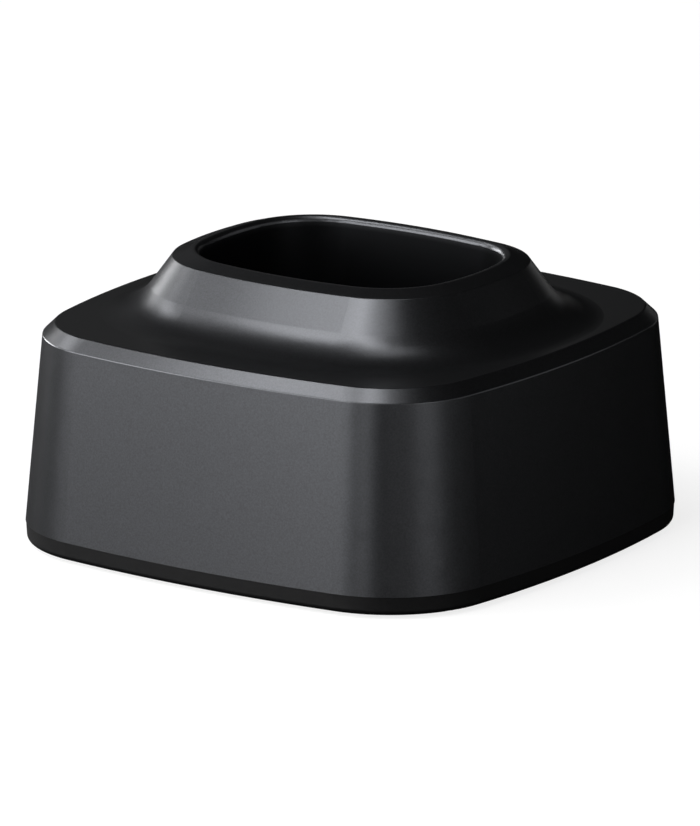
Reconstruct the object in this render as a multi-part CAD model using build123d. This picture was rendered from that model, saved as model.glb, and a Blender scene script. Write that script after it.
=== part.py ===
from build123d import *
import os
from math import atan2, cos, degrees, hypot, radians, sin, sqrt, tan

# Drop-in charging stand for a hair clipper, in millimetres.
# The origin is the centre of the footprint on the table. The front faces -Y,
# the supply inlet is at the rear, and +Z is up.

# Plan of the housing at its widest level, the seam with the base tray
body_half_x = 55.0
body_half_y = 54.2
body_bow_x = 6.4
body_bow_y = 5.5
body_corner = 23.7

# Heights of the outer form, stacked from the table upwards
foot_proud = 0.6
band_height = 3.8
wall_height = 37.7
chamfer_height = 2.4
collar_height = 12.9

# How far each level of the housing lies inside the one below
wall_lean_x = 3.0
wall_lean_y = 3.4
wall_lean_corner = 2.7
chamfer_run = 2.2
chamfer_corner_run = 1.6

# Collar and the mouth of the well, with the land that rises from the rim's edge to the mouth
mouth_half_x = 29.0
mouth_half_y = 22.7
mouth_bow_x = 5.1
mouth_bow_y = 4.3
mouth_corner = 14.6
rim_land_x = 5.0
rim_land_y = 4.6
rim_rise = 1.6
rim_bow_x = 5.45
rim_bow_y = 5.0
rim_corner = 18.4
collar_slope = 54.0
collar_foot_radius = 12.5
rim_edge_radius = 0.35
mouth_radius = 1.15
well_draft = 1.5
well_floor_radius = 2.0

# Moulding
wall = 2.2
deck_edge_radius = 0.4
collar_void_below_rim = 5.5
boss_radius = 3.2
boss_in_wall = 0.4

# Base tray
tray_floor = 2.2
band_step = 0.1
band_lean = 0.2
band_edge_radius = 1.1
lip_height = 3.0
lip_thickness = 1.5
lip_clearance = 0.15

# Rubber feet
foot_radius = 6.0
foot_seat = 1.0
foot_edge_radius = 0.3
foot_from_side = 17.0

# Screws: head radius, head height, shank radius, shank length
base_screw = (2.8, 1.8, 1.45, 11.0)
ballast_screw = (4.4, 1.6, 1.3, 4.0)
contact_screw = (2.3, 1.6, 1.2, 7.6)
board_screw = (2.4, 1.5, 1.2, 7.0)
screw_clearance = 0.05
passing_clearance = 0.25
head_clearance = 0.4
screw_tip = 1.2

# Base screws and the tray's posts round them
base_screw_x = 24.0
base_screw_from_side = 13.2
tray_post_radius = 4.2
tray_post_height = 3.2
screw_head_cover = 1.0

# Steel ballast plate
ballast_thickness = 3.0
ballast_from_side = 19.0
ballast_rear_y = 14.0
ballast_corner = 8.0
ballast_post_gap = 0.8
ballast_post_from_edge = 8.0
ballast_post_y = -10.0
ballast_post_radius = 3.0
ballast_hole_clearance = 0.3

# Charging contacts in the floor of the well
contact_pitch = 9.0
under_gap = 1.0
retainer_thickness = 1.6
flange_thickness = 2.4
contact_boss_height = 5.4
contact_boss_radius = 3.0
contact_screw_x = 16.0
carrier_half_x = 12.0
carrier_half_y = 6.0
carrier_corner = 3.0
island_height = 3.0
island_edge_radius = 0.6
window_clearance = 0.15
ear_half_x = 20.0
ear_half_y = 7.0
pin_radius = 1.25
pin_proud = 2.5
pin_travel = 1.8
pin_clearance = 0.05
pin_land = 6.5
pin_collar_radius = 2.2
pin_collar_height = 1.2
pin_collar_clearance = 0.1
pin_rest_gap = 0.05
pin_tail_radius = 1.0
pin_tail_length = 2.85
spring_radius = 1.6
spring_wire = 0.3
spring_turns = 5

# Terminals under the springs, and the leads to the board
terminal_thickness = 0.4
terminal_half_x = 2.5
terminal_front = 3.0
terminal_groove_clearance = 0.1
barrel_outer = 1.1
barrel_inner = 0.7
barrel_length = 3.0
barrel_from_ear = 1.5
lead_radius = 0.65
lead_in_barrel = 2.5
lead_from_barrel = 2.3
lead_pitch = 2.5
lead_to_plug = 2.6
lead_in_plug = 2.0
bend_share = 0.45

# Plug and header
plug_half_x = 2.9
plug_height = 4.0
plug_length = 9.5
plug_clearance = 0.1
plug_inside = 4.8
header_wall = 1.0
header_length = 6.0
header_pin = 0.64
header_pin_inset = 0.4
header_pin_bend = 0.8
socket_side = 1.8
socket_clearance = 0.05
socket_inset = 0.4

# Circuit board, hung from bosses behind the well
board_above_table = 8.0
board_thickness = 1.6
board_half_x = 20.2
board_screw_x = 16.4
board_margin = 4.0
board_rear_margin = 3.4
header_x = -9.0
header_from_front = 7.6

# Supply inlet and jack
inlet_radius = 5.0
inlet_depth = 5.5
inlet_lip = 1.2
inlet_hole_radius = 3.4
inlet_boss_radius = 8.0
inlet_spot_radius = 6.6
inlet_spot_depth = 0.2
jack_gap = 0.1
jack_half_x = 4.5
jack_length = 14.2
jack_axis_height = 6.5
jack_front_length = 3.4
jack_front_height = 11.0
jack_socket_radius = 2.9
jack_socket_depth = 9.5
jack_pin_radius = 1.05
jack_pin_short = 0.8
jack_blade = (0.5, 2.4)
jack_blade_inside = 3.0
jack_blade_from_side = 1.6
jack_blades_from_back = (4.0, 7.0)
jack_tail_gap = 0.7
jack_top_inset = 0.2
tail_below_board = 1.2
hole_clearance = 0.15

# Small parts on the board
capacitor_radius = 3.15
capacitor_height = 5.4
capacitor_from_jack = 5.0
capacitor_behind_front = 9.8
fuse_size = (4.5, 3.2, 0.9)
diode_size = (4.3, 2.6, 2.2)
chip_x = 9.0
chip_behind_front = 5.0

# Levels that follow from the sizes above
seam_z = foot_proud + band_height
shoulder_z = seam_z + wall_height
deck_z = shoulder_z + chamfer_height
rim_z = deck_z + collar_height
rim_edge_z = rim_z - rim_rise
tray_top_z = foot_proud + tray_floor
ballast_top_z = tray_top_z + ballast_thickness
retainer_z = ballast_top_z + under_gap + contact_screw[1]
carrier_z = retainer_z + retainer_thickness
ear_top_z = carrier_z + flange_thickness
well_under_z = ear_top_z + contact_boss_height
well_floor_z = well_under_z + wall
island_z = well_floor_z + island_height
board_top_z = board_above_table + board_thickness
jack_z = board_top_z + jack_axis_height
tray_post_z = tray_top_z + tray_post_height
base_screw_head_z = foot_proud + screw_head_cover
deck_under_z = deck_z - wall

SIDES = {"left": -1, "right": 1}


class Outline:
    """A plan of four bowed sides joined by tangent corner arcs."""

    def __init__(self, half_x, half_y, side_x, side_y, corner):
        self.half_x = half_x
        self.half_y = half_y
        self.side_x = side_x
        self.side_y = side_y
        self.corner = corner

    def inset(self, depth):
        """The parallel outline that lies depth further in."""
        return Outline(
            self.half_x - depth,
            self.half_y - depth,
            self.side_x - depth,
            self.side_y - depth,
            self.corner - depth,
        )

    def corner_centre(self):
        """The point from which the corner arc touches both side arcs from inside."""
        ax = self.half_x - self.side_x
        by = self.half_y - self.side_y
        to_a = self.side_x - self.corner
        to_b = self.side_y - self.corner
        span = hypot(ax, by)
        along = (to_a**2 - to_b**2 + span**2) / (2 * span)
        across = sqrt(to_a**2 - along**2)
        ux, uy = -ax / span, by / span
        return ax + ux * along - uy * across, uy * along + ux * across

    def rear_at(self, x):
        """How far back the rear side reaches at a distance x from the middle."""
        return self.half_y - self.side_y + sqrt(self.side_y**2 - x**2)

    def face(self, z):
        """The flat face inside the outline at a level."""
        cx, cy = self.corner_centre()
        ax = self.half_x - self.side_x
        by = self.half_y - self.side_y
        a = degrees(atan2(cy, cx - ax))
        b = degrees(atan2(cy - by, cx))
        arcs = [
            CenterArc((ax, 0), self.side_x, -a, 2 * a),
            CenterArc((cx, cy), self.corner, a, b - a),
            CenterArc((0, by), self.side_y, b, 180 - 2 * b),
            CenterArc((-cx, cy), self.corner, 180 - b, b - a),
            CenterArc((-ax, 0), self.side_x, 180 - a, 2 * a),
            CenterArc((-cx, -cy), self.corner, 180 + a, b - a),
            CenterArc((0, -by), self.side_y, 180 + b, 180 - 2 * b),
            CenterArc((cx, -cy), self.corner, 360 - b, b - a),
        ]
        return Pos(0, 0, z) * make_face(arcs)


def bowed(half_x, half_y, bow_x, bow_y, corner):
    """An outline from its half sizes and how far each side bows out over its length."""
    side_x = (half_y**2 + bow_x**2) / (2 * bow_x)
    side_y = (half_x**2 + bow_y**2) / (2 * bow_y)
    return Outline(half_x, half_y, side_x, side_y, corner)


def wall_plan(z):
    """The housing's outer plan at a level of its leaning walls."""
    share = (z - seam_z) / wall_height
    return bowed(
        body_half_x - share * wall_lean_x,
        body_half_y - share * wall_lean_y,
        body_bow_x,
        body_bow_y,
        body_corner - share * wall_lean_corner,
    )


def collar_plan(z):
    """The collar's outer plan at a level, before its foot is rounded."""
    return rim_plan.inset(-(rim_edge_z - z) / tan(radians(collar_slope)))


def well_plan(z):
    """The well's inner plan at a level."""
    return mouth_plan.inset((rim_z - z) * tan(radians(well_draft)))


seam_plan = wall_plan(seam_z)
shoulder_plan = wall_plan(shoulder_z)
deck_plan = bowed(
    shoulder_plan.half_x - chamfer_run,
    shoulder_plan.half_y - chamfer_run,
    body_bow_x,
    body_bow_y,
    shoulder_plan.corner - chamfer_corner_run,
)
mouth_plan = bowed(mouth_half_x, mouth_half_y, mouth_bow_x, mouth_bow_y, mouth_corner)
rim_plan = bowed(
    mouth_half_x + rim_land_x, mouth_half_y + rim_land_y, rim_bow_x, rim_bow_y, rim_corner
)

# Places in plan that follow from the sizes above
base_screw_y = body_half_y - base_screw_from_side
foot_x = body_half_x - foot_from_side
foot_y = body_half_y - foot_from_side
ballast_half_x = body_half_x - ballast_from_side
ballast_post_x = ballast_half_x - ballast_post_from_edge
well_back = well_plan(well_under_z).inset(-wall).rear_at(board_screw_x + boss_radius)
board_front_screw_y = well_back + boss_radius - boss_in_wall
board_front_y = board_front_screw_y - board_margin
inlet_face_y = wall_plan(jack_z + inlet_spot_radius).half_y - inlet_spot_depth
inlet_floor_y = inlet_face_y - inlet_depth
jack_face_y = inlet_floor_y - inlet_lip - jack_gap
jack_back_y = jack_face_y - jack_length
board_rear_y = jack_face_y - jack_gap
board_rear_screw_y = board_rear_y - board_rear_margin
header_y = board_front_y + header_from_front
plug_y = header_y + plug_inside - plug_length
barrel_y = ear_half_y + barrel_from_ear
lead_z = board_top_z + header_wall + plug_clearance + plug_height / 2


def stack(*levels):
    """A solid with straight walls from one (outline, z) level to the next."""
    return loft([plan.face(z) for plan, z in levels], ruled=True)


def edges_at(solid, z, reach=0.01):
    """The edges of a solid that lie at a level."""
    return solid.edges().filter_by_position(Axis.Z, z - reach, z + reach)


def rod(radius, z0, z1, x=0.0, y=0.0):
    """An upright round bar."""
    return Pos(x, y, z0) * extrude(Circle(radius), z1 - z0)


def bar(radius, y0, y1, x=0.0, z=0.0):
    """A round bar along Y."""
    return Pos(x, y0, z) * Rot(-90, 0, 0) * extrude(Circle(radius), y1 - y0)


def block(x0, x1, y0, y1, z0, z1):
    """A square-edged box between two corners."""
    size = (x1 - x0, y1 - y0, z1 - z0)
    return Pos((x0 + x1) / 2, (y0 + y1) / 2, (z0 + z1) / 2) * Box(*size)


def slab(half_x, half_y, corner, z0, z1, y=0.0):
    """A plate with rounded corners."""
    return Pos(0, y, z0) * extrude(RectangleRounded(2 * half_x, 2 * half_y, corner), z1 - z0)


def four(x, y):
    """The four places of a pattern, mirrored both ways."""
    return [(sx * x, sy * y) for sx in (-1, 1) for sy in (-1, 1)]


def screw(sizes, x, y, z, up):
    """A pan-head screw with a cross recess. Its head bears at z and its shank runs up or down."""
    head_radius, head_height, shank_radius, length = sizes
    head = Pos(0, 0, -head_height) * extrude(Circle(head_radius), head_height)
    head = fillet(head.edges().sort_by(Axis.Z)[0], 0.45 * head_height)
    shank = extrude(Circle(shank_radius), length - screw_tip)
    tip = Pos(0, 0, length - screw_tip / 2) * Cone(shank_radius, 0.3 * shank_radius, screw_tip)
    arm = (1.3 * head_radius, 0.28 * head_radius, head_height)
    cross = Box(*arm) + Rot(0, 0, 90) * Box(*arm)
    body = head + shank + tip - Pos(0, 0, -head_height) * cross
    return Pos(x, y, z) * (body if up else Rot(180, 0, 0) * body)


def foot_rounding():
    """The radius at the collar's foot, no larger than the deck's flat round it can carry."""
    foot = collar_plan(deck_z)
    flat = min(deck_plan.half_x - foot.half_x, deck_plan.half_y - foot.half_y) - deck_edge_radius
    return min(collar_foot_radius, 0.9 * flat / tan(radians(collar_slope) / 2))


def collar():
    """The collar without its hollow, closed at the top by a flat over the mouth."""
    low_z = deck_z - 0.5 * wall
    form = stack((collar_plan(low_z), low_z), (rim_plan, rim_edge_z), (mouth_plan, rim_z))
    return fillet(edges_at(form, rim_edge_z), rim_edge_radius)


def outer_form():
    """The housing's outside: leaning walls, chamfer, deck and the collar with its rounded foot."""
    body = stack((seam_plan, seam_z), (shoulder_plan, shoulder_z), (deck_plan, deck_z))
    body = fillet(edges_at(body, shoulder_z) + edges_at(body, deck_z), deck_edge_radius)
    form = body + collar()
    foot = edges_at(form, deck_z).sort_by_distance((0, 0, deck_z))[:8]
    return fillet(foot, foot_rounding())


def inner_void():
    """The room inside the walls, the chamfer and the collar."""
    low = stack(
        (seam_plan.inset(wall), seam_z),
        (shoulder_plan.inset(wall), shoulder_z - 0.4 * wall),
        (deck_plan.inset(wall), deck_under_z),
    )
    side = wall / sin(radians(collar_slope))
    z0, z1 = deck_under_z - 1.0, rim_z - collar_void_below_rim
    high = stack((collar_plan(z0).inset(side), z0), (collar_plan(z1).inset(side), z1))
    return low + high


def well_outside():
    """The well's wall and floor before it is hollowed."""
    top = rim_z - 0.5 * collar_void_below_rim
    levels = [(well_plan(z).inset(-wall), z) for z in (well_under_z, top)]
    return stack(*levels)


def well_hollow():
    """The well itself, open at the top, with a rounded floor edge."""
    hollow = stack((well_plan(well_floor_z), well_floor_z), (mouth_plan, rim_z))
    return fillet(edges_at(hollow, well_floor_z), well_floor_radius)


def board_screw_places():
    rows = (board_front_screw_y, board_rear_screw_y)
    return [(sx * board_screw_x, y) for sx in (-1, 1) for y in rows]


def housing_bosses():
    """Bosses that hang from the deck for the base and board screws, and from the well's floor."""
    top = deck_under_z + 0.5 * wall
    bosses = [rod(boss_radius, tray_post_z, top, *p) for p in four(base_screw_x, base_screw_y)]
    bosses += [rod(boss_radius, board_top_z, top, *p) for p in board_screw_places()]
    for side in SIDES.values():
        floor = well_under_z + 0.5 * wall
        bosses.append(rod(contact_boss_radius, ear_top_z, floor, side * contact_screw_x, 0))
    return bosses


def housing_screw_holes():
    """Blind holes in the bosses, as deep as the screws that go into them."""
    spare = 1.0
    holes = []
    r, length = base_screw[2] + screw_clearance, base_screw[3]
    top = base_screw_head_z + base_screw[1] + length + spare
    holes += [rod(r, tray_post_z - 1, top, *p) for p in four(base_screw_x, base_screw_y)]
    r, length = board_screw[2] + screw_clearance, board_screw[3]
    top = board_above_table + length + spare
    holes += [rod(r, board_top_z - 1, top, *p) for p in board_screw_places()]
    r, length = contact_screw[2] + screw_clearance, contact_screw[3]
    for side in SIDES.values():
        top = retainer_z + length + 0.4 * spare
        holes.append(rod(r, ear_top_z - 1, top, side * contact_screw_x, 0))
    return holes


def inlet_boss():
    """Round boss behind the rear wall that carries the inlet recess."""
    return bar(inlet_boss_radius, inlet_floor_y - inlet_lip, inlet_face_y, 0, jack_z)


def inlet_cuts():
    """The flat spot on the wall, the recess for the plug and the hole through to the jack."""
    out = body_half_y + 5
    spot = bar(inlet_spot_radius, inlet_face_y, out, 0, jack_z)
    recess = bar(inlet_radius, inlet_floor_y, out, 0, jack_z)
    through = bar(inlet_hole_radius, jack_face_y - 1, out, 0, jack_z)
    return [spot, recess, through]


def carrier_window():
    """The opening in the well's floor that the contact block stands in."""
    half_x = carrier_half_x + window_clearance
    half_y = carrier_half_y + window_clearance
    corner = carrier_corner + window_clearance
    return slab(half_x, half_y, corner, well_under_z - 1, well_floor_z + 1)


def housing():
    """One moulding: walls, deck, collar, well, bosses and inlet."""
    shell = outer_form() - inner_void() + well_outside()
    for boss in housing_bosses() + [inlet_boss()]:
        shell += boss
    shell -= well_hollow()
    shell = fillet(edges_at(shell, rim_z), mouth_radius)
    for cut in [carrier_window()] + inlet_cuts() + housing_screw_holes():
        shell -= cut
    return shell


def base_tray():
    """Bottom cover: band, floor, locating lip, and posts for the screws and the ballast."""
    band_top = seam_plan.inset(band_step)
    band = stack((band_top.inset(band_lean), foot_proud), (band_top, seam_z))
    band = fillet(edges_at(band, foot_proud), band_edge_radius)
    lip_z = seam_z + lip_height
    lip_low = seam_plan.inset(wall + lip_clearance)
    lip_high = wall_plan(lip_z).inset(wall + lip_clearance)
    lip = stack((lip_low, seam_z - 1), (lip_low, seam_z), (lip_high, lip_z))
    inside = lip_high.inset(lip_thickness)
    tray = band + lip - stack((inside, tray_top_z), (inside, lip_z + 1))
    for place in four(base_screw_x, base_screw_y):
        tray += rod(tray_post_radius, tray_top_z - 1, tray_post_z, *place)
        bearing = base_screw_head_z + base_screw[1]
        tray -= rod(base_screw[0] + head_clearance, foot_proud - 1, bearing, *place)
        tray -= rod(base_screw[2] + passing_clearance, foot_proud, tray_post_z + 1, *place)
    for place in four(foot_x, foot_y):
        tray -= rod(foot_radius, foot_proud - 1, foot_proud + foot_seat, *place)
    for side in SIDES.values():
        place = (side * ballast_post_x, ballast_post_y)
        tray += rod(ballast_post_radius, tray_top_z - 1, ballast_top_z, *place)
        depth = ballast_screw[3] + 0.3
        hole = ballast_screw[2] + screw_clearance
        tray -= rod(hole, ballast_top_z - depth, ballast_top_z + 1, *place)
    return tray


def foot(x, y):
    """Rubber pad glued in its seat under the tray."""
    pad = rod(foot_radius, 0, foot_proud + foot_seat, x, y)
    return fillet(pad.edges().sort_by(Axis.Z)[0], foot_edge_radius)


def base_screws():
    bearing = base_screw_head_z + base_screw[1]
    places = four(base_screw_x, base_screw_y)
    return Compound([screw(base_screw, x, y, bearing, True) for x, y in places])


def ballast_plate():
    """Steel plate on the tray's floor, with holes over the tray's two posts."""
    front = -(base_screw_y - tray_post_radius - ballast_post_gap)
    half_y = (ballast_rear_y - front) / 2
    middle = (ballast_rear_y + front) / 2
    plate = slab(ballast_half_x, half_y, ballast_corner, tray_top_z, ballast_top_z, middle)
    for side in SIDES.values():
        hole = ballast_post_radius + ballast_hole_clearance
        plate -= rod(hole, 0, ballast_top_z + 1, side * ballast_post_x, ballast_post_y)
    return plate


def ballast_screws():
    places = [(side * ballast_post_x, ballast_post_y) for side in SIDES.values()]
    return Compound([screw(ballast_screw, x, y, ballast_top_z, False) for x, y in places])


def contact_x(side):
    return SIDES[side] * contact_pitch / 2


def contact_block():
    """Carrier of the two contacts: an island in the well, and ears under the well's bosses."""
    island = slab(carrier_half_x, carrier_half_y, carrier_corner, carrier_z, island_z)
    island = fillet(edges_at(island, island_z), island_edge_radius)
    carrier = island + slab(ear_half_x, ear_half_y, carrier_corner, carrier_z, ear_top_z)
    for side in SIDES:
        x = contact_x(side)
        stop = island_z - pin_land
        carrier -= rod(pin_radius + pin_clearance, carrier_z, island_z + 1, x, 0)
        carrier -= rod(pin_collar_radius + pin_collar_clearance, carrier_z - 1, stop, x, 0)
        hole = contact_screw[2] + passing_clearance
        carrier -= rod(hole, carrier_z - 1, ear_top_z + 1, SIDES[side] * contact_screw_x, 0)
    return carrier


def contact_retainer():
    """Plate that closes the block from below, grooved for the terminals."""
    plate = slab(ear_half_x, ear_half_y, carrier_corner, retainer_z, carrier_z)
    for side in SIDES:
        x = contact_x(side)
        half = terminal_half_x + terminal_groove_clearance
        front = -terminal_front - terminal_groove_clearance
        groove_z = carrier_z - terminal_thickness
        plate -= block(x - half, x + half, front, ear_half_y + 1, groove_z, carrier_z + 1)
        hole = contact_screw[2] + passing_clearance
        plate -= rod(hole, 0, carrier_z + 1, SIDES[side] * contact_screw_x, 0)
    return plate


def contact_screws():
    places = [side * contact_screw_x for side in SIDES.values()]
    return Compound([screw(contact_screw, x, 0, retainer_z, True) for x in places])


def contact_pin(side):
    """Plated pin with a domed tip, a collar that stops it and a tail inside the spring."""
    x = contact_x(side)
    collar_top = island_z - pin_land - pin_rest_gap
    collar_low = collar_top - pin_collar_height
    shaft = rod(pin_radius, collar_top, island_z + pin_proud, x, 0)
    shaft = fillet(shaft.edges().sort_by(Axis.Z)[-1], 0.85 * pin_radius)
    collar = rod(pin_collar_radius, collar_low, collar_top, x, 0)
    tail = rod(pin_tail_radius, collar_low - pin_tail_length, collar_low, x, 0)
    return shaft + collar + tail


def contact_spring(side):
    """Coil between the terminal and the pin's collar, held pressed a little at rest."""
    low = carrier_z + spring_wire / 2 + screw_clearance
    under_collar = island_z - pin_land - pin_rest_gap - pin_collar_height
    high = under_collar - spring_wire / 2 - screw_clearance
    pitch = (high - low) / spring_turns
    path = Helix(pitch, high - low, spring_radius)
    section = Plane(path @ 0, z_dir=path % 0) * Circle(spring_wire / 2)
    return Pos(contact_x(side), 0, low) * sweep(section, path=path)


def contact_terminal(side):
    """Brass strip under the spring, with a crimp barrel outside the retainer."""
    x = contact_x(side)
    low = carrier_z - terminal_thickness
    half = terminal_half_x
    strip = block(x - half, x + half, -terminal_front, ear_half_y + 0.5, low, carrier_z)
    neck = block(x - barrel_outer, x + barrel_outer, ear_half_y, barrel_y + 0.5, low, carrier_z)
    middle = low + terminal_thickness / 2
    barrel_end = barrel_y + barrel_length
    barrel = bar(barrel_outer, barrel_y, barrel_end, x, middle)
    barrel -= bar(barrel_inner, barrel_y - 1, barrel_end + 1, x, middle)
    neck -= bar(barrel_inner, barrel_y, barrel_end, x, middle)
    return strip + neck + barrel


def lead(side):
    """Insulated wire from the terminal's barrel to the plug, in one easy S bend."""
    x = contact_x(side)
    end_x = header_x + SIDES[side] * lead_pitch / 2
    low_z = carrier_z - terminal_thickness / 2
    start_y = barrel_y + barrel_length - lead_in_barrel
    turn_y = barrel_y + barrel_length + lead_from_barrel
    points = [
        Vector(x, start_y, low_z),
        Vector(x, turn_y, low_z),
        Vector(end_x, plug_y - lead_to_plug, lead_z),
        Vector(end_x, plug_y + lead_in_plug, lead_z),
    ]
    runs = [b - a for a, b in zip(points, points[1:])]
    radii = []
    for before, after in zip(runs, runs[1:]):
        half_turn = radians(before.get_angle(after)) / 2
        radii.append(bend_share * min(before.length, after.length) / tan(half_turn))
    path = FilletPolyline(*points, radius=radii)
    wire = sweep(Plane(points[0], z_dir=runs[0]) * Circle(lead_radius), path=path)
    print("lead", side, "radii", [round(r, 2) for r in radii], "length", round(path.length, 1))
    return wire


def lead_ends():
    """Where the two leads enter the plug, across the stand."""
    return [header_x + side * lead_pitch / 2 for side in SIDES.values()]


def wire_plug():
    """Two-way crimp housing with a square cavity for each socket."""
    z0 = lead_z - plug_height / 2
    z1 = z0 + plug_height
    end = plug_y + plug_length
    shell = block(header_x - plug_half_x, header_x + plug_half_x, plug_y, end, z0, z1)
    half = socket_side / 2 + socket_clearance
    for x in lead_ends():
        shell -= block(x - half, x + half, plug_y - 1, end + 1, lead_z - half, lead_z + half)
    return shell


def plug_contacts():
    """Crimp sockets in the plug: square tubes that grip a pin in front and a wire behind."""
    sockets = []
    half = socket_side / 2
    pin = header_pin / 2 + socket_clearance
    rear = plug_y + socket_inset
    front = plug_y + plug_length - socket_clearance
    wire_end = plug_y + lead_in_plug + socket_clearance
    for x in lead_ends():
        tube = block(x - half, x + half, rear, front, lead_z - half, lead_z + half)
        tube -= block(x - pin, x + pin, rear, front + 1, lead_z - pin, lead_z + pin)
        tube -= bar(lead_radius + socket_clearance, plug_y - 1, wire_end, x, lead_z)
        sockets.append(tube)
    return Compound(sockets)


def header_body():
    """Shrouded header on the board, open to the front for the plug."""
    inner_x = plug_half_x + plug_clearance
    inner_z = plug_height / 2 + plug_clearance
    low, high = lead_z - inner_z, lead_z + inner_z
    left, right = header_x - inner_x, header_x + inner_x
    rear = header_y + header_length
    mouth = header_y + plug_inside + plug_clearance
    side = header_wall
    shell = block(left - side, right + side, header_y, rear, board_top_z, high + side)
    shell -= block(left, right, header_y - 1, mouth, low, high)
    for x in lead_ends():
        shell -= header_pin_solid(x, socket_clearance)
    return shell


def header_pin_solid(x, room):
    """A square pin that runs back through the header and turns down through the board."""
    half = header_pin / 2 + room
    tip = header_y + header_pin_inset
    bend = header_y + header_length + header_pin_bend
    low = board_above_table - tail_below_board
    along = block(x - half, x + half, tip - room, bend + half, lead_z - half, lead_z + half)
    down = block(x - half, x + half, bend - half, bend + half, low, lead_z)
    return along + down


def header_pins():
    return Compound([header_pin_solid(x, 0) for x in lead_ends()])


def jack_blade_solid(x, y, room):
    """A blade that goes from inside the jack down through the board."""
    half_y = jack_blade[0] / 2 + room
    half_x = jack_blade[1] / 2 + room
    z0 = board_above_table - tail_below_board
    z1 = board_top_z + jack_blade_inside + room
    return block(x - half_x, x + half_x, y - half_y, y + half_y, z0, z1)


def jack_blade_places():
    """Two blades: the sleeve contact in the middle and the switch contact at the side."""
    side_x = jack_half_x - jack_blade_from_side
    first, second = jack_blades_from_back
    return [(0, jack_back_y + first), (side_x, jack_back_y + second)]


def jack_body():
    """Supply jack: a tall front flange, a round-topped body and the plug's socket."""
    half = jack_half_x
    flange_y = jack_face_y - jack_front_length
    flange_z = board_top_z + jack_front_height
    socket_y = jack_face_y - jack_socket_depth
    body = block(-half, half, flange_y, jack_face_y, board_top_z, flange_z)
    body += block(-half, half, jack_back_y, flange_y, board_top_z, jack_z)
    body += bar(half - jack_top_inset, jack_back_y, flange_y, 0, jack_z)
    body -= bar(jack_socket_radius, socket_y, jack_face_y + 1, 0, jack_z)
    body -= bar(jack_pin_radius, jack_back_y - 1, jack_face_y, 0, jack_z)
    for x, y in jack_blade_places():
        body -= jack_blade_solid(x, y, screw_clearance)
    return body


def jack_pin():
    """Centre pin of the jack, with a tail that turns down behind the body into the board."""
    tail_y = jack_back_y - jack_tail_gap - jack_blade[0]
    pin = bar(jack_pin_radius, tail_y, jack_face_y - jack_pin_short, 0, jack_z)
    pin = fillet(pin.edges().sort_by(Axis.Y)[-1], 0.7 * jack_pin_radius)
    return pin + jack_tail(0)


def jack_tail(room):
    """The centre pin's flat tail, behind the jack's body."""
    half_x = jack_blade[1] / 2 + room
    y1 = jack_back_y - jack_tail_gap
    z0 = board_above_table - tail_below_board
    return block(-half_x, half_x, y1 - jack_blade[0] - room, y1 + room, z0, jack_z + jack_pin_radius)


def jack_terminals():
    return Compound([jack_blade_solid(x, y, 0) for x, y in jack_blade_places()])


def circuit_board():
    """Board under the bosses, with holes for the screws, the pins and the blades."""
    z0, z1 = board_above_table, board_top_z
    middle = (board_front_y + board_rear_y) / 2
    half_y = (board_rear_y - board_front_y) / 2
    board = slab(board_half_x, half_y, 1.5, z0, z1, middle)
    for place in board_screw_places():
        board -= rod(board_screw[2] + passing_clearance, z0 - 1, z1 + 1, *place)
    for x in lead_ends():
        board -= header_pin_solid(x, hole_clearance)
    for x, y in jack_blade_places():
        board -= jack_blade_solid(x, y, hole_clearance)
    return board - jack_tail(hole_clearance)


def board_screws():
    places = board_screw_places()
    return Compound([screw(board_screw, x, y, board_above_table, True) for x, y in places])


def filter_capacitor():
    """Upright can capacitor on its square foot."""
    half = capacitor_radius + 0.15
    x = jack_half_x + capacitor_from_jack
    y = board_front_y + capacitor_behind_front
    base = block(x - half, x + half, y - half, y + half, board_top_z, board_top_z + 0.9)
    can = rod(capacitor_radius, board_top_z, board_top_z + capacitor_height, x, y)
    return base + fillet(can.edges().sort_by(Axis.Z)[-1], 0.4)


def chip(size, x):
    """A small moulded part soldered flat under the board."""
    y = board_front_y + chip_behind_front
    body = Pos(x, y, board_above_table - size[2] / 2) * Box(*size)
    return chamfer(body.edges().filter_by(Axis.Z), 0.25)


def main():
    parts = {
        "housing": housing(),
        "base_tray": base_tray(),
        "base_screws": base_screws(),
        "ballast_plate": ballast_plate(),
        "ballast_screws": ballast_screws(),
        "contact_block": contact_block(),
        "contact_retainer": contact_retainer(),
        "contact_screws": contact_screws(),
        "positive_lead": lead("right"),
        "negative_lead": lead("left"),
        "wire_plug": wire_plug(),
        "plug_contacts": plug_contacts(),
        "wire_header": header_body(),
        "header_pins": header_pins(),
        "circuit_board": circuit_board(),
        "board_screws": board_screws(),
        "jack_body": jack_body(),
        "jack_pin": jack_pin(),
        "jack_terminals": jack_terminals(),
        "filter_capacitor": filter_capacitor(),
        "resettable_fuse": chip(fuse_size, chip_x),
        "reverse_diode": chip(diode_size, -chip_x),
    }
    for side in SIDES:
        parts["contact_pin_" + side] = contact_pin(side)
        parts["contact_spring_" + side] = contact_spring(side)
        parts["contact_terminal_" + side] = contact_terminal(side)
        x = SIDES[side] * foot_x
        parts["foot_front_" + side] = foot(x, -foot_y)
        parts["foot_rear_" + side] = foot(x, foot_y)
    os.makedirs("parts", exist_ok=True)
    for name, shape in parts.items():
        export_step(shape, "parts/" + name + ".step")


main()
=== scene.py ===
import bpy
import numpy as np
from mathutils import Matrix, Vector


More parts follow.
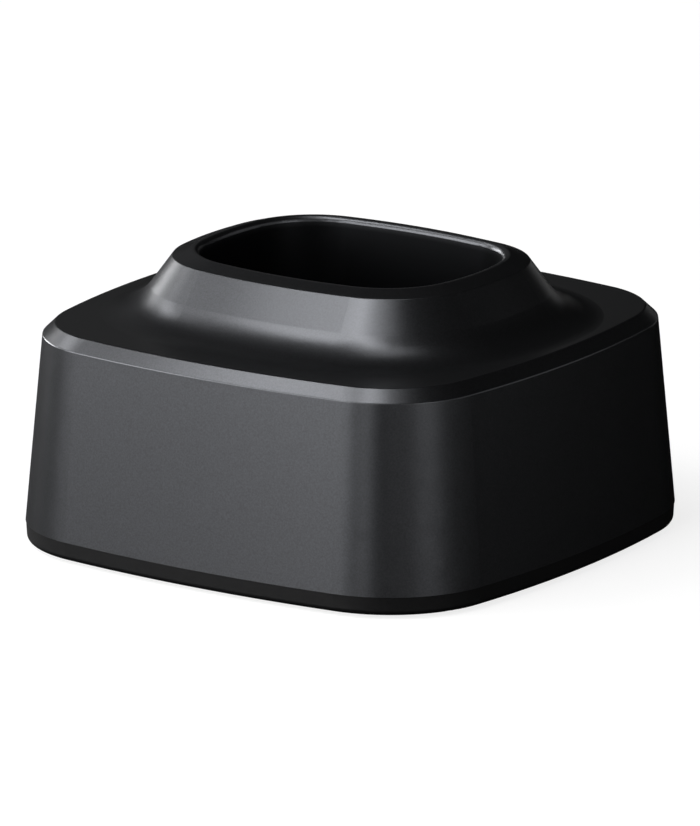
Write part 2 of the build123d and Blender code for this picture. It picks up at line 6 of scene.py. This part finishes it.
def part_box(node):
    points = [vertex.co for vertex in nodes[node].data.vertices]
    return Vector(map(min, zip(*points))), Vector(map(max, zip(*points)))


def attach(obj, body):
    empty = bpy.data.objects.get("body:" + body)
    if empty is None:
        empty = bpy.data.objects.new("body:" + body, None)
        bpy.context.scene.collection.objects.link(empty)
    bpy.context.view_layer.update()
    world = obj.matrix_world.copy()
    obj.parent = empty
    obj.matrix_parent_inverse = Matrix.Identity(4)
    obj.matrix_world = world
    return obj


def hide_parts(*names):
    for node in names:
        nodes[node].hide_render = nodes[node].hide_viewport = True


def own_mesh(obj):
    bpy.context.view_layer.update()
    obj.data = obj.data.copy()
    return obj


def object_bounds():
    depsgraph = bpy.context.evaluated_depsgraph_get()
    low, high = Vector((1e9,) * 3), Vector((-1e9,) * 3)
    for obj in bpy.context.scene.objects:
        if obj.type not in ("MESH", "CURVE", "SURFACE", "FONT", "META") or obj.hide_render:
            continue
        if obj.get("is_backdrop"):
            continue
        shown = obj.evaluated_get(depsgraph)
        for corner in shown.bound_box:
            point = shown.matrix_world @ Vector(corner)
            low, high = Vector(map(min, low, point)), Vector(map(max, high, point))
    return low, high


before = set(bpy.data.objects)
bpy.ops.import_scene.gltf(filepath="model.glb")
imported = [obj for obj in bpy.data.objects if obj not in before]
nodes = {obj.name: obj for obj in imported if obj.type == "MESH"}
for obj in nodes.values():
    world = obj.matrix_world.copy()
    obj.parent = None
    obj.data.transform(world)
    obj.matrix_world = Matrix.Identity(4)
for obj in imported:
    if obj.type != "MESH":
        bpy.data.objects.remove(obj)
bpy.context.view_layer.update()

# Base tray
# The bottom cover that carries everything else: injection-moulded black ABS, left
# unpainted. Spark erosion gave its mould a fine texture, which makes it matt, and
# which is drawn coarser here than it is, so that it shows.


def linear(colour):
    """The linear RGBA of an sRGB hex colour: a straight line near black, a power above it."""
    srgb = np.array([int(colour[i:i + 2], 16) / 255 for i in (0, 2, 4)])
    return (*np.where(srgb > 0.04045, ((srgb + 0.055) / 1.055) ** 2.4, srgb / 12.92), 1.0)


def add(material, kind, inputs=(), **settings):
    """A node with its settings, whose inputs are values or the outputs they are linked to."""
    node = material.node_tree.nodes.new(kind)
    for name, value in settings.items():
        setattr(node, name, value)
    for name, value in dict(inputs).items():
        socket = node.inputs[name]
        if isinstance(value, bpy.types.NodeSocket):
            material.node_tree.links.new(value, socket)
        else:
            socket.default_value = value
    return node


def finish(name, tones, roughness, grain_mm, relief_mm, stretch=(1, 1, 1), **constants):
    """A material with one grain for its tone, roughness and relief.

    The grain is noise whose lumps are grain_mm across, drawn out along an axis where stretch is
    under 1. It mixes the two tones, moves the roughness between its two ends and raises the
    surface by up to relief_mm. The noise seldom leaves 0.3 to 0.7, so that is spread over 0 to 1.
    """
    material = bpy.data.materials.new(name)
    material.use_nodes = True
    shader = material.node_tree.nodes["Principled BSDF"]
    for socket, value in constants.items():
        shader.inputs[socket.replace("_", " ")].default_value = value
    place = add(material, "ShaderNodeTexCoord").outputs["Object"]
    place = add(material, "ShaderNodeMapping", {"Vector": place, "Scale": stretch}).outputs[0]
    grain = add(
        material, "ShaderNodeTexNoise", {"Vector": place, "Scale": 1000 / grain_mm, "Detail": 3.0}
    ).outputs["Fac"]
    spread = add(
        material, "ShaderNodeMapRange", {"Value": grain, "From Min": 0.3, "From Max": 0.7}
    ).outputs[0]
    tone = add(
        material, "ShaderNodeMix",
        {"Factor": spread, "A": linear(tones[0]), "B": linear(tones[1])}, data_type="RGBA",
    )
    rough = add(
        material, "ShaderNodeMapRange",
        {"Value": spread, "To Min": roughness[0], "To Max": roughness[1]},
    )
    relief = add(
        material, "ShaderNodeBump", {"Height": grain, "Distance": relief_mm / 1000, "Strength": 1.0}
    )
    links = material.node_tree.links
    links.new(tone.outputs["Result"], shader.inputs["Base Color"])
    links.new(rough.outputs[0], shader.inputs["Roughness"])
    links.new(relief.outputs[0], shader.inputs["Normal"])
    return material


def dress(material, *names):
    """Gives a finish to the nodes that are named."""
    for name in names:
        nodes[name].material_slots[0].material = material


eroded_abs = finish(
    "spark_eroded_black_abs", ("060607", "0a0a0b"), (0.40, 0.50), grain_mm=0.35, relief_mm=0.006,
    IOR=1.52, Specular_IOR_Level=0.3,
)
dress(eroded_abs, "base_tray")

# Rubber feet
# Four die-cut pads of black rubber, glued into seats under the tray. Rubber is
# dull and slightly grey, and the die leaves its face a little open.

pad_rubber = finish(
    "black_pad_rubber", ("19191a", "242424"), (0.72, 0.88), grain_mm=0.6, relief_mm=0.02, IOR=1.52
)
feet = [end + "_" + side for end in ("foot_front", "foot_rear") for side in ("left", "right")]
dress(pad_rubber, *feet)

# Ballast plate and its screws
# A blank of rolled steel, zinc-plated, screwed to two posts of the tray. The
# plating is bright, with the faint straight grain of the rolling under it.

rolled_zinc = finish(
    "rolled_zinc_plated_steel", ("a2a5a8", "b6b9bb"), (0.28, 0.40), grain_mm=0.8, relief_mm=0.003,
    stretch=(0.06, 1, 1), Metallic=1.0,
)
dress(rolled_zinc, "ballast_plate")
screw_zinc = finish(
    "headed_zinc_plated_steel", ("a9acae", "bcbec0"), (0.29, 0.38), grain_mm=0.5, relief_mm=0.003,
    Metallic=1.0,
)
dress(screw_zinc, "ballast_screws", "contact_screws", "board_screws")

# Contact block, retainer and terminals
# The carrier of the two charging contacts is moulded in black PBT, smoother than the
# tray. A plate of the same closes it over two strips, stamped and plated with pale tin.

smooth_pbt = finish(
    "moulded_black_pbt", ("101011", "161617"), (0.30, 0.42), grain_mm=0.5, relief_mm=0.003, IOR=1.57
)
dress(smooth_pbt, "contact_block", "contact_retainer", "jack_body")
tin_plate = finish(
    "tin_plated_brass", ("c3c1ba", "d2d0ca"), (0.29, 0.40), grain_mm=0.4, relief_mm=0.002,
    stretch=(1, 0.2, 1), Metallic=1.0,
)
dress(tin_plate, "contact_terminal_left", "contact_terminal_right")

# Contact pins and springs
# Turned brass pins with hard gold plate, domed where they touch the clipper. The lathe
# leaves rings round them, drawn coarser here than they are, so that they show. Each pin
# stands on a coil of drawn spring steel.

gold_plate = finish(
    "gold_plated_brass", ("d9b25a", "e6c374"), (0.16, 0.26), grain_mm=0.4, relief_mm=0.003,
    stretch=(0.1, 0.1, 1), Metallic=1.0,
)
dress(gold_plate, "contact_pin_left", "contact_pin_right")
drawn_steel = finish(
    "drawn_spring_steel", ("8d8f92", "a5a7a9"), (0.29, 0.37), grain_mm=0.3, relief_mm=0.001,
    Metallic=1.0,
)
scene = bpy.context.scene


def surface(name, points, material, tube=False):
    """A mesh of the squares between the rows and columns of a grid of points.

    In a tube each row is a ring: its last point joins its first one, and a flat face closes the
    first ring and the last.
    """
    rows, columns = points.shape[:2]
    index = np.arange(rows * columns).reshape(rows, columns)
    grid = np.column_stack([index, index[:, 0]]) if tube else index
    squares = np.stack([grid[:-1, :-1], grid[:-1, 1:], grid[1:, 1:], grid[1:, :-1]], -1)
    squares = squares.reshape(-1, 4).tolist()
    ends = [index[0, ::-1].tolist(), index[-1].tolist()] if tube else []
    mesh = bpy.data.meshes.new(name)
    mesh.from_pydata(points.reshape(-1, 3), [], squares + ends)
    mesh.polygons.foreach_set("use_smooth", [tube] * len(squares) + [False] * len(ends))
    mesh.materials.append(material)
    piece = bpy.data.objects.new(name, mesh)
    scene.collection.objects.link(piece)
    return piece


def coil_spring(name, low, high, wire, turns):
    """A compression spring that fills a box, its first and last turn closed on their neighbours.

    The wire's middle runs round the box's axis, half a wire inside it, by one full circle a turn.
    It climbs a little more than one wire in the first turn and in the last, and evenly between
    them. The section is a circle across the wire: at its angle u it lies at cos u times the way
    outwards plus sin u times the way that is square to both that and the wire.
    """
    points_a_turn, points_around, closed_turn = 32, 12, 1.07 * wire
    middle, reach = (low + high) / 2, (high[0] - low[0] - wire) / 2
    turn, around = np.meshgrid(
        np.linspace(0, turns, points_a_turn * turns + 1),
        np.linspace(0, 2 * np.pi, points_around, endpoint=False), indexing="ij",
    )
    span = high[2] - low[2] - wire
    climb = np.interp(turn, (0, 1, turns - 1, turns), (0, closed_turn, span - closed_turn, span))
    angle, level = 2 * np.pi * turn, np.zeros_like(turn)
    slope = span / (2 * np.pi * reach * turns)
    outwards = np.stack([np.cos(angle), np.sin(angle), level], -1)
    along = np.stack([-np.sin(angle), np.cos(angle), level + slope], -1)
    along /= np.linalg.norm(along, axis=-1, keepdims=True)
    square = np.cross(along, outwards)
    rings = reach * outwards + np.stack([level, level, climb], -1)
    rings += (middle[0], middle[1], low[2] + wire / 2)
    section = np.cos(around)[..., None] * outwards + np.sin(around)[..., None] * square
    return surface(name, rings + wire / 2 * section, drawn_steel, tube=True)


for side in ("left", "right"):
    node = "contact_spring_" + side
    low, high = (np.array(corner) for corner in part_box(node))
    spring = coil_spring("closed_end_spring_" + side, low, high, wire=0.0003, turns=7)
    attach(spring, "stand")
    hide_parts(node)
    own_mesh(spring)

# Leads, plug and sockets
# Two stranded leads in soft PVC, waxy, half glossy and red for positive, run from the
# terminals to a two-way crimp housing. It is moulded in nylon, left its own cream white,
# which light enters a little way, and has stamped sockets in it.

for lead, name, tones in (
    ("positive_lead", "red_extruded_pvc", ("9e1a16", "b0211b")),
    ("negative_lead", "black_extruded_pvc", ("141415", "1d1d1e")),
):
    extruded_pvc = finish(
        name, tones, (0.34, 0.46), grain_mm=1.2, relief_mm=0.01, stretch=(1, 0.2, 1), IOR=1.53
    )
    dress(extruded_pvc, lead)
natural_nylon = finish(
    "moulded_natural_nylon", ("d8d4c6", "e6e3d8"), (0.40, 0.52), grain_mm=0.8, relief_mm=0.004,
    IOR=1.53, Subsurface_Weight=0.15, Subsurface_Scale=0.001,
)
dress(natural_nylon, "wire_plug", "wire_header")
dress(tin_plate, "plug_contacts", "header_pins")

# Circuit board
# Glass cloth in epoxy, under green solder mask. The weave of the glass shows through the
# mask as a faint square pattern: two sets of waves, one yarn long, multiplied.

solder_mask = finish(
    "green_solder_mask", ("0c3d22", "12502d"), (0.29, 0.38), grain_mm=0.5, relief_mm=0.004, IOR=1.55
)
shader = solder_mask.node_tree.nodes["Principled BSDF"]
place = add(solder_mask, "ShaderNodeTexCoord").outputs["Object"]
yarn_mm, wave_at_one, show_through = 0.5, 2 * np.pi / 20, 0.25
yarns = [
    add(
        solder_mask, "ShaderNodeTexWave",
        {"Vector": place, "Scale": 1000 * wave_at_one / yarn_mm}, bands_direction=axis,
    ).outputs["Fac"]
    for axis in "XY"
]
weave = add(
    solder_mask, "ShaderNodeMath", {0: yarns[0], 1: yarns[1]}, operation="MULTIPLY"
).outputs[0]
faint = add(
    solder_mask, "ShaderNodeMath", {0: weave, 1: show_through}, operation="MULTIPLY"
).outputs[0]
mask_tone = shader.inputs["Base Color"].links[0].from_socket
woven_tone = add(
    solder_mask, "ShaderNodeMix", {"Factor": faint, "A": mask_tone, "B": linear("1d6a3c")},
    data_type="RGBA",
)
solder_mask.node_tree.links.new(woven_tone.outputs["Result"], shader.inputs["Base Color"])
dress(solder_mask, "circuit_board")

# What is soldered to the board
# The supply jack's pin and blades are tin-plated. The capacitor's drawn can is satin, with
# faint upright lines, the fuse is dipped in epoxy, glossy and a little uneven, and the
# diode is moulded in matt epoxy.

dress(tin_plate, "jack_pin", "jack_terminals")
can_aluminium = finish(
    "drawn_aluminium_can", ("b4b6b8", "c6c8c9"), (0.29, 0.38), grain_mm=0.6, relief_mm=0.002,
    stretch=(1, 1, 0.1), Metallic=1.0,
)
dress(can_aluminium, "filter_capacitor")
fuse_coating = finish(
    "dipped_green_epoxy", ("1f5a2c", "2a6b38"), (0.30, 0.42), grain_mm=0.7, relief_mm=0.01, IOR=1.55
)
dress(fuse_coating, "resettable_fuse")
moulded_epoxy = finish(
    "moulded_black_epoxy", ("171718", "202021"), (0.45, 0.58), grain_mm=0.25, relief_mm=0.006,
    IOR=1.55,
)
dress(moulded_epoxy, "reverse_diode")

# Housing
# One ABS moulding for the walls, the deck, the collar and the well, sprayed satin dark
# grey. Aluminium flake in the paint mirrors light as dark metal does, with a soft mottle,
# and is drawn coarser than it is, so that it shows. Inside the well a darker tone is painted shade.

satin_paint = finish(
    "satin_flake_paint_on_abs", ("454648", "4d4e51"), (0.285, 0.325), grain_mm=0.35,
    relief_mm=0.0006, Metallic=0.95,
)
shader = satin_paint.node_tree.nodes["Principled BSDF"]
place = add(satin_paint, "ShaderNodeTexCoord").outputs["Object"]
place = add(satin_paint, "ShaderNodeSeparateXYZ", {"Vector": place}).outputs

# A point is inside the well where its share of each half width is under 1, and the two
# shares together are under cut_corner, which leaves out the corners.
half_well, cut_corner = (0.0292, 0.0229), 1.7
shares = []
for axis, half in zip("XY", half_well):
    distance = add(satin_paint, "ShaderNodeMath", {0: place[axis]}, operation="ABSOLUTE").outputs[0]
    shares.append(
        add(satin_paint, "ShaderNodeMath", {0: distance, 1: half}, operation="DIVIDE").outputs[0]
    )
across = add(
    satin_paint, "ShaderNodeMath", {0: shares[0], 1: shares[1]}, operation="MAXIMUM"
).outputs[0]
askew = add(satin_paint, "ShaderNodeMath", {0: shares[0], 1: shares[1]}, operation="ADD").outputs[0]
askew = add(
    satin_paint, "ShaderNodeMath", {0: askew, 1: cut_corner}, operation="DIVIDE"
).outputs[0]
reach = add(satin_paint, "ShaderNodeMath", {0: across, 1: askew}, operation="MAXIMUM").outputs[0]
inside = add(satin_paint, "ShaderNodeMath", {0: reach, 1: 1.0}, operation="LESS_THAN").outputs[0]
# Painted shade: below the lip the well's walls fade to a darker tone, which is full at the lower
# height.
shade_full_height, shade_start_height = 0.0548, 0.0564
depth = add(
    satin_paint, "ShaderNodeMapRange",
    {"Value": place["Z"], "From Min": shade_full_height, "From Max": shade_start_height, "To Min": 1, "To Max": 0},
).outputs[0]
painted_well_shade = add(
    satin_paint, "ShaderNodeMath", {0: inside, 1: depth}, operation="MULTIPLY"
).outputs[0]
unshaded_paint_tone = shader.inputs["Base Color"].links[0].from_socket
# The darker tone mixed in inside the well is painted shade, not a change of finish.
well_shade_tone = add(
    satin_paint, "ShaderNodeMix",
    {"Factor": painted_well_shade, "A": unshaded_paint_tone, "B": linear("262729")}, data_type="RGBA",
)
satin_paint.node_tree.links.new(well_shade_tone.outputs["Result"], shader.inputs["Base Color"])
dress(satin_paint, "housing")

# Base screws
# Four pan-head screws hold tray and housing together. They are steel in black zinc
# plate, which is dark and satin, with a trace of the metal's own shine.

black_zinc = finish(
    "black_zinc_plated_steel", ("2a2a2c", "38383b"), (0.30, 0.42), grain_mm=0.4, relief_mm=0.003,
    Metallic=1.0,
)
dress(black_zinc, "base_screws")

# Floor, light and camera
# A pale table under the stand. Softboxes stand low in front and on the left, a second row hangs
# above them, and black velvet keeps the rest dark, as for any glossy dark product.

scene.view_settings.view_transform = "Standard"


def seen_directly(material):
    """1 for the camera and for what metal, paint and glass mirror, 0 for scattered light."""
    path = add(material, "ShaderNodeLightPath").outputs
    mirrored = add(
        material, "ShaderNodeMath", {0: path["Is Camera Ray"], 1: path["Is Glossy Ray"]},
        operation="MAXIMUM",
    ).outputs[0]
    return add(
        material, "ShaderNodeMath", {0: mirrored, 1: path["Is Transmission Ray"]},
        operation="MAXIMUM",
    ).outputs[0]


world = bpy.data.worlds.new("pale_studio")
world.use_nodes = True
scene.world = world
fill = 0.06
backdrop = add(
    world, "ShaderNodeMapRange", {"Value": seen_directly(world), "To Min": fill, "To Max": 1.0}
).outputs[0]
background = world.node_tree.nodes["Background"].inputs
world.node_tree.links.new(backdrop, background["Strength"])
background["Color"].default_value = linear("ffffff")

look_at = Vector((0, 0, 0.024))


def direction(azimuth, elevation):
    """The unit vector towards an azimuth, from the front round to the right, and an elevation."""
    a, e = np.radians(azimuth), np.radians(elevation)
    return Vector((np.sin(a) * np.cos(e), -np.cos(a) * np.cos(e), np.sin(e)))


def facing(azimuth, elevation, distance):
    """The place of something that looks at the stand from a direction and a distance."""
    towards = direction(azimuth, elevation)
    turn = towards.to_track_quat("Z", "Y").to_matrix().to_4x4()
    return Matrix.Translation(look_at + distance * towards) @ turn


# Each softbox reaches from one azimuth to another and from one elevation to another, in
# degrees, and ends with its radiance. Its power is that times pi times its area.
light_distance = 1.5
softboxes = {
    "low_left": (-65, -35, -1, 25, 7.1),
    "low_front": (-35, -5, -1, 25, 6.6),
    "low_front_right": (5, 15, -1, 25, 4.7),
    "low_right_front": (30, 60, -1, 25, 0.78),
    "low_right": (60, 84, -1, 25, 2.4),
    "low_right_rear": (84, 150, -1, 25, 0.52),
    "low_rear": (165, 195, -1, 8, 0.2),
    "rear_left": (-150, -120, 12, 42, 0.08),
    "left_strip": (-110, -80, -1, 10, 14.0),
    "left": (-110, -95, 10, 25, 3.1),
    "left_above": (-95, -80, 25, 42, 6.5),
    "mid_left": (-75, -60, 25, 42, 2.1),
    "high_left": (-60, -40, 42, 62, 7.2),
    "high_front_left": (-40, -20, 42, 62, 4.9),
    "high_front": (-20, 0, 42, 62, 8.1),
    "high_right": (0, 20, 42, 62, 2.7),
    "high_far_right": (20, 40, 42, 62, 1.8),
    "top_left": (-50, -20, 62, 78, 0.6),
    "top_front": (-20, 10, 62, 78, 8.3),
    "overhead": (-73, 73, 78, 96, 2.0),
}
for name, (left, right, bottom, top, radiance) in softboxes.items():
    lamp = bpy.data.lights.new(name, "AREA")
    lamp.shape = "RECTANGLE"
    azimuth, elevation = (left + right) / 2, (bottom + top) / 2
    circle = light_distance * np.cos(np.radians(elevation))
    lamp.size = 2 * circle * np.tan(np.radians(right - left) / 2)
    lamp.size_y = 2 * light_distance * np.tan(np.radians(top - bottom) / 2)
    lamp.energy = radiance * np.pi * lamp.size * lamp.size_y
    softbox = bpy.data.objects.new(name, lamp)
    softbox.matrix_world = facing(azimuth, elevation, light_distance)
    scene.collection.objects.link(softbox)


def flat(name, half_width, height, material):
    """A level square sheet round the origin: x and y run from minus its half width to plus it."""
    reach = (-half_width, half_width)
    corners = np.stack(np.meshgrid(reach, reach, [height]), -1)[:, :, 0]
    return surface(name, corners, material)


# The laminate is grey to the lamps, so that it throws little light on the stand, and a glow
# of its own makes it pale to the camera. It lies just clear of the feet.
laminate_glow, table_gap = 0.8, 0.00005
table_top = bpy.data.materials.new("white_laminate")
table_top.use_nodes = True
laminate = table_top.node_tree.nodes["Principled BSDF"].inputs
laminate["Base Color"].default_value = linear("898989")
laminate["Roughness"].default_value = 0.9
laminate["Specular IOR Level"].default_value = 0.0
laminate["Emission Color"].default_value = linear("ffffff")
glow = add(
    table_top, "ShaderNodeMath", {0: seen_directly(table_top), 1: laminate_glow},
    operation="MULTIPLY",
).outputs[0]
table_top.node_tree.links.new(glow, laminate["Emission Strength"])
table = flat("table", 3.0, -table_gap, table_top)

# The velvet is a tent behind the softboxes and a mat that only mirrors see.
velvet = bpy.data.materials.new("black_velvet")
velvet.use_nodes = True
pile = velvet.node_tree.nodes["Principled BSDF"].inputs
pile["Base Color"].default_value = linear("0d0d0d")
pile["Roughness"].default_value = 1.0
pile["Specular IOR Level"].default_value = 0.0
tent_radius, panels_around, panels_up = 1.9, 48, 12
around, upward = np.meshgrid(
    np.linspace(-np.pi, np.pi, panels_around + 1), np.linspace(0, np.pi / 2, panels_up + 1)
)
dome = np.stack(
    [np.sin(around) * np.cos(upward), -np.cos(around) * np.cos(upward), np.sin(upward)], -1
)
tent = surface("velvet_tent", tent_radius * dome, velvet)
mat = flat("velvet_mat", 1.3, 0.0002, velvet)
tent.visible_camera = mat.visible_camera = False
mat.visible_shadow = mat.visible_diffuse = False
for sheet in (table, tent, mat):
    sheet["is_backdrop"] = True

# The camera's place and lens were fitted to the photograph. It stands a little aside of
# the line through the stand's middle.
camera_azimuth, camera_elevation, camera_distance = 34.8, 15.11, 2.391
aside = -0.00022
lens = bpy.data.cameras.new("product_lens")
lens.lens, lens.sensor_width, lens.clip_end = 528.13, 36, 10
camera = bpy.data.objects.new("camera", lens)
camera.matrix_world = facing(camera_azimuth, camera_elevation, camera_distance)
camera.matrix_world.translation += aside * camera.matrix_world.to_3x3().col[0]
scene.collection.objects.link(camera)
scene.camera = camera

low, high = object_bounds()
